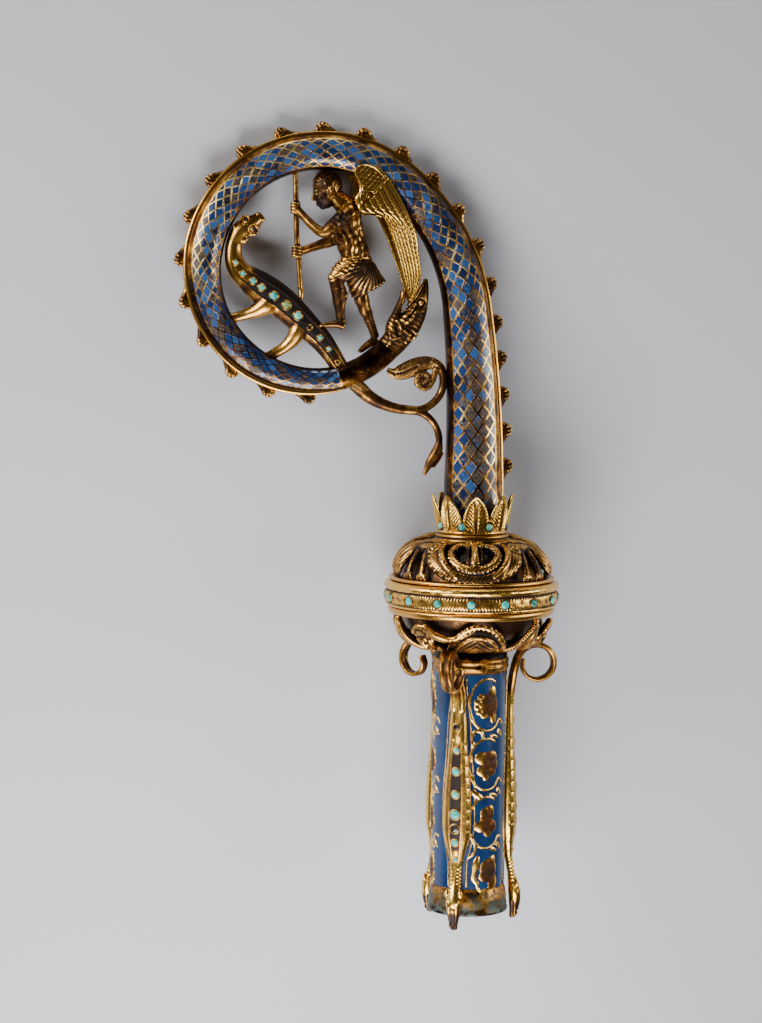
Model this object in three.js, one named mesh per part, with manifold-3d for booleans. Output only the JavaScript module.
// Crosier head of gilt and enamelled copper: a hollow socket for the staff, an openwork knop,
// a crown of leaves, and a scaly serpent crook that curls round an angel spearing a dragon.
//
// The pieces are drawn upright about the staff: the staff axis is Y, the crook curls to -X
// and the front faces +Z. At the end the whole head is laid on its back, front upwards.

import * as THREE from 'three';
import { mergeVertices } from 'three/addons/utils/BufferGeometryUtils.js';
import Module from 'manifold-3d';

const wasm = await Module();
wasm.setup();

// ---- driving dimensions: millimetres and degrees ----

const gap = 0.3;                 // air left between pieces that touch
const grain = 0.01;              // corners of joined pieces lie on a grid of this step

const socket = {
  bore: 13.9, radius: 15.5, foot: -128.7, top: 26.9, footRing: 16.8, footRingTop: -118.6,
  collar: 16.1, collarFoot: -25.7, collarTop: -21.2, sides: 20,
};

const band = {
  foot: 0.3, top: 10.9, inner: 32.8, flat: 35.9, roll: 36.4, sides: 28,
  beads: 16, beadTurn: -12, beadHeight: 3.5, beadRadius: 1.75, beadRise: 1.2,
};

// The knop's pierced wall as [radius, height] at the middle of its thickness: from the flat top
// over the shoulder down to the band, and from the band down to the socket. Rims close both ends.
const knop = {
  upper: [[18.5, 25.6], [23, 25], [27, 22.6], [30.2, 18], [32.4, 12.6]],
  lower: [[32.6, -1.2], [31.6, -6], [29, -10.6], [24.6, -14.2], [18.5, -16]],
  upperRims: [[15, 20.5, 25.2, 27.4], [30.6, 34.2, 10.6, 12.8]], upperFoot: 11.2, upperTop: 26.8,
  lowerRims: [[15, 20.8, -18, -15.3], [30.8, 34.4, -1.8, 0.6]], lowerFoot: -17.4, lowerTop: 0, inner: 16.1,
  reach: 45, halfWall: 1.8, strapSwell: 1.2, sectors: 3, upperTurn: -9.5, lowerTurn: -51,
};

const neckRing = { inner: 13.3, outer: 15.4, foot: 27.2, top: 30.4 };

const crown = {
  inner: 13, radius: 14, foot: 30.8, height: 15.8, notch: 6, flare: 2.4, lean: 1.5,
  leaves: 8, leafTurn: -6, beadHeight: 33.8, beadRadius: 1.6, beadRise: 1.3,
};

// The crook's centre line: [length, turn to the left] for each stretch, from the neck ring up.
const crook = {
  start: [0.5, 27.2],
  course: [[34.4, 0], [62.6, 7], [63.3, 46], [91.3, 105], [84.1, 105], [40.6, 54]],
  width: [[0, 24.2], [24, 25], [92, 20.8], [143, 17.8], [194, 15.8], [260, 16], [310, 13.7],
    [352, 10.4], [377, 10.2]],
  flatness: 0.94, crest: 1.3, crestHalf: 1.9, crestFrom: 12, crestFull: 24, crestTo: 356,
  tenonRadius: 13.5, tenonFoot: 8, tenonTop: 26.6, rootRadius: 11, rootHeight: 4, turnStep: 10.6,
  crockets: 22, crocketFrom: 30.5, crocketPitch: 14.7,
};

const serpent = {
  turns: [-28, 90, -139], scrollCentre: [28.4, -25.4], scrollRadius: 9.6,
  scrollStart: 178, scrollTurn: 38, scrollKnots: 10, scrollShrink: 0.045,
};

const stone = { sides: 5 };

// The resting pose: the turns about X and then Y that lay the head on the back of the band and
// of the crook, and the depth of the small flats that keep it from rolling there.
const rest = { lean: -8.86, roll: -1.53, flat: 0.35 };

// ---- helpers ----

const frontAxis = new THREE.Vector3(0, 0, 1);
const degrees = THREE.MathUtils.degToRad;
const vector = (list) => new THREE.Vector3(...list);

function solidOf(geometry) {
  const bare = geometry.clone();
  bare.deleteAttribute('normal');
  bare.deleteAttribute('uv');
  const welded = mergeVertices(bare, 1e-4);
  return new wasm.Manifold(new wasm.Mesh({
    numProp: 3,
    vertProperties: new Float32Array(welded.attributes.position.array),
    triVerts: new Uint32Array(welded.index.array),
  }));
}

function union(geometries) {
  return geometries.map(solidOf).reduce((whole, part) => whole.add(part));
}

// The solid's faces with every corner on a fine grid. A face that closes up on the grid is left
// out, and so are two faces that come to lie back to back on the same corners.
function geometryOf(solid) {
  const mesh = solid.getMesh();
  const snapped = mesh.vertProperties.map((value) => Math.round(value / grain) * grain);
  const raw = new THREE.BufferGeometry();
  raw.setAttribute('position', new THREE.BufferAttribute(snapped, 3));
  raw.setIndex(new THREE.BufferAttribute(mesh.triVerts, 1));
  const geometry = mergeVertices(raw, grain / 10);
  const faces = geometry.index.array;
  const kept = new Map();
  for (let i = 0; i < faces.length; i += 3) {
    const corners = Array.from(faces.slice(i, i + 3));
    const key = [...corners].sort((a, b) => a - b).join();
    const flat = new Set(corners).size < 3;
    if (flat) continue;
    if (!kept.delete(key)) kept.set(key, corners);
  }
  geometry.setIndex([...kept.values()].flat());
  geometry.computeVertexNormals();
  return geometry;
}

// Straight-line value between [place, value] pairs.
function between(pairs, place) {
  const next = pairs.findIndex(([at]) => at >= place);
  if (next === 0) return pairs[0][1];
  if (next < 0) return pairs[pairs.length - 1][1];
  const [from, low] = pairs[next - 1];
  const [to, high] = pairs[next];
  return low + (high - low) * (place - from) / (to - from);
}

// A closed cylinder whose vertices are sent to place(along, side, front), where along runs
// from 0 to 1 and side and front are the point's place in a circle of radius 1.
function sleeve(sides, steps, place) {
  const geometry = new THREE.CylinderGeometry(1, 1, 1, sides, steps);
  const spots = geometry.attributes.position;
  for (let i = 0; i < spots.count; i += 1) {
    const spot = place(spots.getY(i) + 0.5, spots.getX(i), spots.getZ(i));
    spots.setXYZ(i, spot.x, spot.y, spot.z);
  }
  return geometry;
}

// A rounded limb along a smooth line. Each knot is [x, y, z, half width], and depth is its
// half thickness towards the front as a share of the half width.
function limb(knots, { sides = 6, steps = 2 * knots.length - 2, depth = 1, front = frontAxis,
  grow = 0, pleats = 0, pleatDepth = 0.1 } = {}) {
  const line = new THREE.CatmullRomCurve3(knots.map(([x, y, z]) => new THREE.Vector3(x, y, z)));
  const widths = knots.map((knot, i) => [i / (knots.length - 1), knot[3]]);
  return sleeve(sides, steps, (along, side, out) => {
    const spot = line.getPoint(along);
    const ahead = line.getTangent(along);
    const up = front.clone().addScaledVector(ahead, -front.dot(ahead)).normalize();
    const across = ahead.clone().cross(up);
    const fold = 1 + pleatDepth * Math.cos(pleats * Math.atan2(side, out)) * Math.sign(pleats);
    const half = between(widths, along) * fold;
    return spot.addScaledVector(across, side * (half + grow))
      .addScaledVector(up, out * (half * depth + grow));
  });
}

function ball([x, y, z], [width, height, thick], turn = 0, sides = 8) {
  const geometry = new THREE.SphereGeometry(1, sides, sides - 2);
  geometry.scale(width, height, thick);
  geometry.rotateZ(degrees(turn));
  geometry.translate(x, y, z);
  return geometry;
}

// A ring turned about the staff axis from a closed [radius, height] profile.
function turned(profile, sides) {
  const points = [...profile, profile[0]].map(([radius, height]) => new THREE.Vector2(radius, height));
  return new THREE.LatheGeometry(points, sides);
}

// A point at an angle round the staff, measured from the front towards +X.
function around(radius, angle, height) {
  const turn = degrees(angle);
  return new THREE.Vector3(radius * Math.sin(turn), height, radius * Math.cos(turn));
}

// A low dome, flat underneath, whose base stands at the origin and faces -Z.
function dome(radius, rise) {
  const profile = [[0, 0], [radius, 0], [radius * 0.78, rise * 0.62], [0, rise]];
  const geometry = new THREE.LatheGeometry(profile.map(([x, y]) => new THREE.Vector2(x, y)), stone.sides);
  return geometry.rotateX(Math.PI / 2);
}

function turnedStone(radius, rise, distance, angle, height) {
  const geometry = dome(radius, rise);
  geometry.rotateY(degrees(angle));
  const spot = around(distance, angle, height);
  return geometry.translate(spot.x, spot.y, spot.z);
}

// ---- the crook ----

const crookLength = crook.course.reduce((sum, [length]) => sum + length, 0);

// Where the centre line is at a length along it, and the angle that it heads in.
function crookAt(length) {
  let heading = Math.PI / 2;
  let [x, y] = crook.start;
  let left = length;
  for (const [stretch, turnBy] of crook.course) {
    const run = Math.min(left, stretch);
    const turn = degrees(turnBy) * run / stretch;
    const chord = turn === 0 ? run : 2 * run / turn * Math.sin(turn / 2);
    x += chord * Math.cos(heading + turn / 2);
    y += chord * Math.sin(heading + turn / 2);
    heading += turn;
    left -= run;
    if (left <= 0) break;
  }
  return { x, y, heading };
}

// A point beside the centre line: out is away from the curl, front is towards the viewer.
function besideCrook(length, out, front) {
  const { x, y, heading } = crookAt(length);
  return new THREE.Vector3(x + out * Math.sin(heading), y - out * Math.cos(heading), front);
}

function crestAt(length) {
  const rise = THREE.MathUtils.smoothstep(length, crook.crestFrom, crook.crestFull);
  const fall = 1 - THREE.MathUtils.smoothstep(length, crook.crestTo - 20, crook.crestTo);
  return crook.crest * rise * fall;
}

// Lengths along the crook at which a ring is wanted: few where it is straight.
function crookRings() {
  const rings = [0];
  for (const [stretch, turnBy] of crook.course) {
    const steps = Math.max(2, Math.ceil(turnBy / crook.turnStep));
    const from = rings[rings.length - 1];
    for (let i = 1; i <= steps; i += 1) {
      rings.push(from + stretch * i / steps);
    }
  }
  return rings;
}

// The tapering tube with its raised crest, as one closed body, fatter all round by grow.
function crookTube(grow = 0) {
  const rings = crookRings();
  const sides = 14;
  return sleeve(sides, rings.length - 1, (along, side, out) => {
    const length = rings[Math.round(along * (rings.length - 1))];
    const crest = crestAt(length);
    const half = (between(crook.width, length) - crest) / 2 + grow;
    const onCrest = side > 0.9;
    const across = onCrest ? half + crest : side * half - crest / 2;
    const front = onCrest ? Math.sign(out) * (crook.crestHalf + grow) : out * half * crook.flatness;
    return besideCrook(length, across, front);
  });
}

// One curled bud of the crest, its tail pointing back towards the socket.
function crocket(index) {
  const length = crook.crocketFrom + crook.crocketPitch * index;
  const edge = between(crook.width, length) / 2;
  const size = 1 - 0.12 * index / crook.crockets;
  const knots = [[-4.2, -0.9, 0.8], [-0.4, 1.5, 1.5], [2.2, 1.9, 1.3]];
  return limb(knots.map(([ahead, out, half]) => {
    const spot = besideCrook(length + ahead * size, edge + out * size, 0);
    return [spot.x, spot.y, 0, half * size];
  }), { sides: 4, steps: 2, depth: 1.5 });
}

// The serpent's head that ends the crook, jaws open round the wing tips.
function crookHead(grow = 0) {
  const skull = limb([[-40, 102.5, 0, 4.8], [-33.4, 110.2, 0, 5.2], [-27.4, 117, 0, 5.1],
    [-23.6, 124.4, 0, 3.9], [-21.8, 130.6, 0, 2.4], [-20.7, 135, 0, 1.1]],
  { sides: 8, steps: 5, depth: 0.85, grow });
  const jaw = limb([[-33, 110.5, 0, 3.2], [-34.6, 117.6, 0, 2.4], [-32.4, 123.4, 0, 1.7],
    [-30.9, 127.6, 0, 1.4], [-30.3, 130.6, 0, 1]], { steps: 3, depth: 1.3, grow });
  const brows = [1, -1].map((face) => ball([-23.6, 125.6, 2.8 * face], [1.5, 1.9, 1.3], -20, 4));
  return [skull, jaw, ...brows];
}

function crookSolid() {
  const tenonHeight = crook.tenonTop - crook.tenonFoot;
  const tenon = new THREE.CylinderGeometry(crook.tenonRadius, crook.tenonRadius, tenonHeight, 16);
  tenon.translate(0, crook.tenonFoot + tenonHeight / 2, 0);
  const root = new THREE.CylinderGeometry(crook.rootRadius, crook.rootRadius, crook.rootHeight, 8);
  root.translate(0, crook.tenonTop, 0);
  const buds = Array.from({ length: crook.crockets }, (_, i) => crocket(i));
  return union([crookTube(), tenon, root, ...buds, ...crookHead()]);
}

// ---- the angel, the dragon and the wings, inside the crook ----

// The dragon's body from its neck to where it meets the crook: [x, y, z, half width].
const dragonBody = [[-97.6, 155.6, 0, 3.6], [-100.2, 151.4, 0, 3.4], [-100.8, 145.7, 0, 3.6],
  [-99.4, 140, 0, 4.2], [-95.6, 135.8, 0, 5.2], [-90.4, 131.9, 0, 6.4], [-85, 128.2, 0, 6.8],
  [-79.6, 124.4, 0, 6.4], [-74.4, 119.8, 0, 5.9], [-69.4, 115, 0, 5.3], [-64.6, 110.4, 0, 4.7],
  [-60.6, 105.2, 0, 4], [-56.8, 99.6, 0, 3.3], [-53, 93.6, 0, 3.2]];
const dragonDepth = 0.78;

function dragonParts(grow = 0) {
  const body = limb(dragonBody, { sides: 8, steps: dragonBody.length - 1, depth: dragonDepth, grow });
  const head = limb([[-99.4, 154.6, 0, 3.4], [-96.2, 157.6, 0, 4.1], [-92.6, 159.4, 0, 3.2],
    [-88.8, 161.2, 0, 1.8]], { steps: 3, grow });
  const chin = limb([[-96, 155, 0, 2.2], [-92, 155.4, 0, 1.7], [-90.2, 157.2, 0, 1]],
    { sides: 4, steps: 2, grow });
  const foreLeg = limb([[-85, 128, 0, 4.4], [-89.4, 122.2, 0, 3.3], [-94.6, 119.9, 0, 2.4],
    [-102, 117.6, 0, 2.6]], { steps: 3, grow });
  const hindLeg = limb([[-73.6, 116, 0, 4], [-76.8, 110.4, 0, 2.9], [-80.6, 106.4, 0, 2.4],
    [-86.4, 101.6, 0, 2.6]], { steps: 3, grow });
  return [body, head, chin, foreLeg, hindLeg];
}

function dragonSolid(crookRoom) {
  return union(dragonParts()).subtract(crookRoom);
}

function angelParts() {
  const torso = limb([[-61.4, 171, 0, 2.8], [-56.4, 165, 0, 3.8], [-53.8, 157.6, 0, 5.7],
    [-52.4, 150.6, 0, 6.2], [-50.4, 142.2, 0, 6.4]], { sides: 8, steps: 5, depth: 0.86 });
  const head = ball([-63.2, 171.9, 0], [6.5, 7.6, 5.7], 16, 7);
  const nose = ball([-68.4, 169.2, 0], [1.1, 1.7, 1], -20, 4);
  const nearArm = limb([[-52.6, 162.8, 3.2, 3.6], [-57.8, 159, 5.2, 3], [-63.6, 154.6, 5, 2.3],
    [-69.2, 158.4, 3, 2], [-75.6, 163.6, 0, 2.6]], { steps: 5 });
  const farArm = limb([[-53.6, 160, -3.6, 3.2], [-58.6, 151.4, -5, 2.6], [-64.6, 148, -4, 2.1],
    [-75.6, 145.6, 0, 2.6]], { steps: 4 });
  const lance = limb([[-75.5, 183.5, 0, 1.3], [-72.9, 127, 0, 1.3]], { steps: 1 });
  const skirt = limb([[-50.6, 144, 0, 6.2], [-48, 137.4, 0, 7], [-45, 130.6, 0, 7.8]],
    { sides: 20, steps: 2, depth: 0.78, pleats: 10, pleatDepth: 0.06 });
  const nearLeg = limb([[-50, 138.4, 1.2, 5], [-59, 136.4, 2.8, 3.6], [-57.8, 127.4, 2.8, 2.7],
    [-55.6, 117, 2.6, 2], [-63.6, 116.6, 2.6, 1.3]], { steps: 7 });
  const farLeg = limb([[-47.8, 133.6, -2.6, 3.2], [-45.4, 124.8, -2.8, 2.9], [-41, 111.6, -2.6, 2.1],
    [-47.2, 104.8, -2.6, 1.3]], { steps: 5 });
  return [torso, head, nose, nearArm, farArm, lance, skirt, nearLeg, farLeg];
}

function angelSolid(crookRoom) {
  return union(angelParts()).subtract(crookRoom).subtract(union(dragonParts(gap)));
}

// A wing: a plate with a rivet hole, a scaly shoulder and long feathers, bowed so that it
// passes in front of the crook at the top and ends between the serpent's jaws.
function wing(face, crookRoom) {
  const outline = new THREE.Shape();
  outline.moveTo(-51.6, 168.2);
  outline.splineThru([[-51.2, 171.6], [-53.4, 177.6], [-49.4, 182], [-42.4, 180.6], [-35, 170.6],
    [-29.2, 158.2], [-25.8, 150.6]].map(([x, y]) => new THREE.Vector2(x, y)));
  outline.lineTo(-27.2, 150.4);
  outline.splineThru([[-25.4, 142.6], [-24.8, 136], [-27.9, 126.6]]
    .map(([x, y]) => new THREE.Vector2(x, y)));
  outline.splineThru([[-32.6, 138.8], [-36.2, 149], [-40.4, 158.6], [-45.4, 163.4], [-49.6, 161.4]]
    .map(([x, y]) => new THREE.Vector2(x, y)));
  const hole = [0, 60, 120, 180, 240, 300].map((angle) => new THREE.Vector2(
    -46.8 + 1.5 * Math.cos(degrees(angle)), 169.6 + 1.5 * Math.sin(degrees(angle))));
  outline.holes.push(new THREE.Path(hole));
  const plate = new THREE.ExtrudeGeometry(outline, { depth: 1.2, bevelEnabled: false, curveSegments: 2 });
  const bow = (y) => 1.6 + 5 * THREE.MathUtils.smoothstep(y, 124, 168);
  const quills = [0, 1, 2].map((i) => limb([
    [-44 + 3.4 * i, 167.4 + 1.6 * i, 1.2, 1], [-37.4 + 3 * i, 156.4 + i, 1.2, 1],
    [-28.6 + 0.9 * i, 131, 1.2, 0.3]], { sides: 3, steps: 3, depth: 0.9 }));
  const bar = limb([[-46, 170.6, 1.2, 0.8], [-39.6, 177, 1.2, 0.6]], { sides: 4, steps: 1 });
  const parts = [plate, ...quills, bar];
  for (const geometry of parts) {
    const spots = geometry.attributes.position;
    for (let i = 0; i < spots.count; i += 1) {
      spots.setZ(i, spots.getZ(i) + bow(spots.getY(i)));
    }
  }
  const front = union(parts).subtract(crookRoom);
  return face > 0 ? front : front.mirror([0, 0, 1]);
}

// The dragon's tail outside the crook: it forks into a curled leaf and a small serpent.
function tailSolid(crookRoom) {
  const fork = [-24.4, 81.4, 0, 1.9];
  const stemPart = limb([[-54, 97, 0, 3.4], [-49.3, 91.6, 0, 3.2], [-43.8, 86.8, 0, 2.8],
    [-37.5, 83.7, 0, 2.3], [-31.2, 82, 0, 2], fork], { steps: 5 });
  const leafStalk = limb([fork, [-19, 83.3, 0, 1.8], [-14.6, 87.4, 0, 1.8], [-13, 93, 0, 1.7],
    [-14.4, 98.8, 0, 1.8], [-18.4, 101.6, 0, 2]], { steps: 6, depth: 0.9 });
  const leaf = limb([[-16, 100.6, 0, 1.8], [-20.4, 100.6, 0, 3], [-25.4, 99, 0, 3.8], [-30.4, 97.2, 0, 3.2],
    [-36.2, 98.6, 0, 1]], { sides: 8, steps: 4, depth: 0.6 });
  const curl = ball([-21.4, 94.1, 0], [4, 4, 2.4], 0, 6);
  const neck = limb([fork, [-19.2, 78.6, 0, 1.6], [-15.8, 74.2, 0, 1.5], [-14.4, 70, 0, 1.5],
    [-14.8, 66, 0, 1.5]], { steps: 4 });
  const head = limb([[-14.4, 67.4, 0, 1.4], [-16.6, 63.4, 0, 2.3], [-18.8, 59.6, 0, 1.9],
    [-20.8, 54.9, 0, 0.8]], { steps: 3 });
  return union([stemPart, leafStalk, leaf, curl, neck, head]).subtract(crookRoom);
}

// Stones down the middle of the dragon's front: [share of the way down its body, radius].
const dragonStones = [[0.16, 0.95], [0.235, 1.05], [0.305, 1.25], [0.38, 1.35], [0.455, 1.65], [0.53, 1.65],
  [0.6, 1.65], [0.755, 1.05], [0.825, 0.9], [0.895, 0.9]];

function dragonStone([along, radius]) {
  const line = new THREE.CatmullRomCurve3(dragonBody.map(([x, y, z]) => new THREE.Vector3(x, y, z)));
  const widths = dragonBody.map((knot, i) => [i / (dragonBody.length - 1), knot[3]]);
  const spot = line.getPoint(along);
  return dome(radius, 1.1).translate(spot.x, spot.y, between(widths, along) * dragonDepth + gap);
}

// ---- the crown and the neck ring ----

function crownGeometry() {
  const stepsPerLeaf = 6;
  const rows = 2;
  const count = crown.leaves * stepsPerLeaf;
  const profile = [];
  for (let i = 0; i <= rows; i += 1) profile.push([crown.radius, i / rows]);
  for (let i = rows; i >= 0; i -= 1) profile.push([crown.inner, i / rows]);
  const geometry = turned(profile, count);
  const spots = geometry.attributes.position;
  const leafHeight = [[0, 1], [0.34, 0.9], [0.67, 0.68], [1, crown.notch / crown.height]];
  for (let i = 0; i < spots.count; i += 1) {
    const angle = Math.atan2(spots.getX(i), spots.getZ(i));
    const turn = (angle - degrees(crown.leafTurn)) * crown.leaves / (2 * Math.PI);
    const aside = 2 * Math.abs(turn - Math.round(turn));
    const up = spots.getY(i) * between(leafHeight, aside);
    const radius = Math.hypot(spots.getX(i), spots.getZ(i)) + crown.flare * up ** crown.lean;
    const spot = around(radius, THREE.MathUtils.radToDeg(angle), crown.foot + up * crown.height);
    spots.setXYZ(i, spot.x, spot.y, spot.z);
  }
  return geometry;
}

// ---- the knop ----

function knopProfile(points) {
  return new THREE.CatmullRomCurve3(points.map(([radius, height]) => new THREE.Vector3(radius, height, 0)));
}

const upperProfile = knopProfile(knop.upper);
const lowerProfile = knopProfile(knop.lower);

// A strap of the openwork: knots are [angle, share of the way down the profile, half width].
function strap(profile, turn, knots, { steps = 2 * knots.length, sides = 4, depth = knop.halfWall } = {}) {
  const line = new THREE.CatmullRomCurve3(knots.map(([angle, down]) => new THREE.Vector3(angle, down, 0)));
  const halves = knots.map((knot, i) => [i / (knots.length - 1), knot[2]]);
  const onKnop = (angle, down, out) => {
    const spot = profile.getPointAt(THREE.MathUtils.clamp(down, 0, 1));
    const ahead = profile.getTangentAt(THREE.MathUtils.clamp(down, 0, 1));
    return around(spot.x - ahead.y * out, turn + angle, spot.y + ahead.x * out);
  };
  return sleeve(sides, steps, (along, side, out) => {
    const { x: angle, y: down } = line.getPoint(along);
    const middle = onKnop(angle, down, 0);
    const outward = onKnop(angle, down, 1).sub(middle);
    const step = line.getTangent(along).multiplyScalar(0.01);
    const ahead = onKnop(angle + step.x, down + step.y, 0).sub(middle).normalize();
    const across = ahead.clone().cross(outward);
    return middle.addScaledVector(across, side * between(halves, along) * knop.strapSwell)
      .addScaledVector(outward, out * depth);
  });
}

// Both hands of a strap in one sector of the knop.
function pair(profile, turn, knots, options) {
  const mirrored = (hand) => knots.map(([angle, down, half]) => [angle * hand, down, half]);
  return [1, -1].map((hand) => strap(profile, turn, mirrored(hand), options));
}

function upperSector(turn) {
  const bodies = strap(upperProfile, turn, [[-40, 0.3, 3.8], [-22, 0.7, 2.4], [0, 0.9, 2.2], [22, 0.7, 2.4],
    [40, 0.3, 3.8]], { sides: 4, steps: 6 });
  const necks = strap(upperProfile, turn, [[-14, 0, 1.4], [-18, 0.36, 1.6], [0, 0.62, 1.6], [18, 0.36, 1.6],
    [14, 0, 1.4]], { sides: 3, steps: 6 });
  const heads = strap(upperProfile, turn, [[0, 0, 2.6], [0, 0.5, 1.8]], { steps: 1, depth: 2.1 });
  const legs = pair(upperProfile, turn, [[40, 0.4, 1.8], [40, 1, 1.4]], { sides: 3, steps: 1 });
  const wings = pair(upperProfile, turn, [[42, 0, 2.2], [62, 1, 3]], { steps: 1 });
  return [bodies, necks, heads, ...legs, ...wings];
}

function lowerSector(turn) {
  const mask = strap(lowerProfile, turn, [[0, 0, 2], [0, 0.5, 4.4], [0, 1, 2.3]], { steps: 2, depth: 2.2 });
  const arches = pair(lowerProfile, turn, [[30, 1, 1.6], [35, 0.4, 1.6], [46, 0.16, 1.6], [56, 0.4, 1.6],
    [62, 1, 1.6]], { sides: 3, steps: 4 });
  const leaves = pair(lowerProfile, turn, [[47, 0, 2.4], [47, 1, 4.4]], { steps: 1, depth: 1.4 });
  return [mask, ...arches, ...leaves];
}

function knopHalf(sector, firstTurn, rims, foot, top) {
  const straps = [];
  for (let i = 0; i < knop.sectors; i += 1) {
    straps.push(...sector(firstTurn + 360 * i / knop.sectors));
  }
  const ring = (inner, outer, low, high) => turned(
    [[inner, low], [outer, low], [outer, high], [inner, high]], socket.sides);
  const rings = rims.map((rim) => ring(...rim));
  const limits = ring(knop.inner, knop.reach, foot, top);
  return union([...rings, ...straps]).intersect(solidOf(limits));
}

// ---- the socket and its three serpents ----

function socketGeometry() {
  return turned([[socket.bore, socket.foot], [socket.footRing, socket.foot],
    [socket.radius, socket.footRingTop], [socket.radius, socket.collarFoot],
    [socket.collar, socket.collarFoot + 0.3],
    [socket.collar, socket.collarTop], [socket.radius, socket.collarTop + 0.3], [socket.radius, socket.top],
    [socket.bore, socket.top]], socket.sides);
}

// A serpent that hangs head down along the socket, its tail curled out under the knop.
// Knots are [distance from the axis, height, half width].
function serpentSolid(turn) {
  const radial = (knots) => knots.map(([distance, height, half]) => {
    const spot = around(distance, turn, height);
    return [spot.x, spot.y, spot.z, half];
  });
  const outward = around(1, turn, 0);
  const body = limb(radial([[17, -34, 2], [17, -46, 3.4], [17, -62, 4.3], [17, -76, 5.8], [17, -92, 5.8],
    [17.2, -102, 3], [18, -109, 2.4], [19.6, -117.5, 2.4]]),
  { sides: 6, steps: 8, depth: 0.62, front: outward });
  const head = limb(radial([[18.6, -113, 1.8], [20.4, -120.5, 2.8], [21.6, -124, 3.2], [21.4, -129, 2.4],
    [20.6, -134, 1.7]]), { sides: 6, steps: 3, depth: 0.8, front: outward });
  const [centreOut, centreUp] = serpent.scrollCentre;
  const scroll = [];
  for (let i = 0; i <= serpent.scrollKnots; i += 1) {
    const angle = degrees(serpent.scrollStart - serpent.scrollTurn * i);
    const reach = serpent.scrollRadius * (1 - serpent.scrollShrink * i);
    scroll.push([centreOut + reach * Math.cos(angle), centreUp + reach * Math.sin(angle), 1.7 - 0.06 * i]);
  }
  const tail = limb(radial([[17.6, -42, 1.6], [17.8, -35, 1.7], ...scroll]),
    { sides: 4, steps: 18, front: around(1, turn + 90, 0) });
  const room = turned([[0, -150], [socket.footRing + gap, -150],
    [socket.footRing + gap, socket.footRingTop + 1],
    [socket.radius + gap, socket.footRingTop + 3], [socket.radius + gap, socket.collarFoot - 1],
    [socket.collar + gap, socket.collarFoot], [socket.collar + gap, -10], [0, -10]], socket.sides);
  return union([body, head, tail]).subtract(solidOf(room));
}

// ---- assembly ----

const metal = (color, roughness) => new THREE.MeshStandardMaterial({ color, roughness, metalness: 1 });
const finish = {
  gilt: metal(0xb8862f, 0.35),
  brownGilt: metal(0x7a5526, 0.45),
  blueEnamel: new THREE.MeshStandardMaterial({ color: 0x2f4f8f, roughness: 0.3, metalness: 0 }),
  turquoise: new THREE.MeshStandardMaterial({ color: 0x35b5a5, roughness: 0.2, metalness: 0 }),
};

const upright = new THREE.Group();

function addPiece(name, shape, material) {
  const geometry = shape.isBufferGeometry ? shape : geometryOf(shape);
  const mesh = new THREE.Mesh(geometry, material);
  mesh.name = name;
  upright.add(mesh);
}

const layDown = new THREE.Matrix4().makeRotationFromEuler(
  new THREE.Euler(degrees(rest.lean), degrees(rest.roll), 0, 'YXZ'));

function lowestWhenLying(geometry) {
  const laid = geometry.clone().applyMatrix4(layDown);
  laid.computeBoundingBox();
  return laid.boundingBox.min.z;
}

const bandGeometry = turned([[band.inner, band.foot], [35.2, band.foot], [band.flat, 1.4], [band.flat, 6.8],
  [band.roll, 8.8], [35, band.top], [band.inner, band.top]], band.sides);

// Everything under the resting flats, as a slab in the upright frame.
function underFlats() {
  const slab = { side: 600, thick: 60 };
  const top = lowestWhenLying(bandGeometry) + rest.flat;
  const block = new THREE.BoxGeometry(slab.side, slab.side, slab.thick);
  block.translate(0, 0, top - slab.thick / 2);
  return solidOf(block.applyMatrix4(layDown.clone().invert()));
}

const ground = underFlats();
const crookRoom = union([crookTube(gap), ...crookHead(gap)]);
addPiece('crook', crookSolid().subtract(ground), finish.blueEnamel);
addPiece('angel', angelSolid(crookRoom), finish.brownGilt);
addPiece('dragon', dragonSolid(crookRoom), finish.brownGilt);
addPiece('crown', crownGeometry(), finish.gilt);
addPiece('tail', tailSolid(crookRoom), finish.gilt);
addPiece('wing_front', wing(1, crookRoom), finish.gilt);
addPiece('wing_back', wing(-1, crookRoom), finish.gilt);
addPiece('knop_upper', knopHalf(upperSector, knop.upperTurn, knop.upperRims, knop.upperFoot, knop.upperTop),
  finish.brownGilt);
addPiece('knop_lower', knopHalf(lowerSector, knop.lowerTurn, knop.lowerRims, knop.lowerFoot, knop.lowerTop),
  finish.brownGilt);
addPiece('knop_band', solidOf(bandGeometry).subtract(ground), finish.gilt);
addPiece('socket', socketGeometry(), finish.blueEnamel);
addPiece('neck_ring', turned([[neckRing.inner, neckRing.foot], [neckRing.outer, neckRing.foot],
  [neckRing.outer, neckRing.top], [neckRing.inner, neckRing.top]], crown.leaves * 2), finish.gilt);
for (let i = 0; i < band.beads; i += 1) {
  addPiece(`band_bead_${i + 1}`, turnedStone(band.beadRadius, band.beadRise, band.flat + gap,
    band.beadTurn + 360 * i / band.beads, band.beadHeight), finish.turquoise);
}
for (let i = 0; i < crown.leaves; i += 1) {
  addPiece(`crown_bead_${i + 1}`, turnedStone(crown.beadRadius, crown.beadRise, crown.radius + gap + 0.1,
    crown.leafTurn + 360 * (i + 0.5) / crown.leaves, crown.beadHeight), finish.turquoise);
}
dragonStones.forEach((spot, i) => addPiece(`dragon_bead_${i + 1}`, dragonStone(spot), finish.turquoise));
serpent.turns.forEach((turn, i) => addPiece(`serpent_${i + 1}`, serpentSolid(turn), finish.gilt));

const lying = new THREE.Group();
lying.add(upright);
upright.setRotationFromMatrix(layDown);
const extent = new THREE.Box3().setFromObject(lying, true);
upright.position.set(-(extent.min.x + extent.max.x) / 2, -(extent.min.y + extent.max.y) / 2, -extent.min.z);

export default lying;
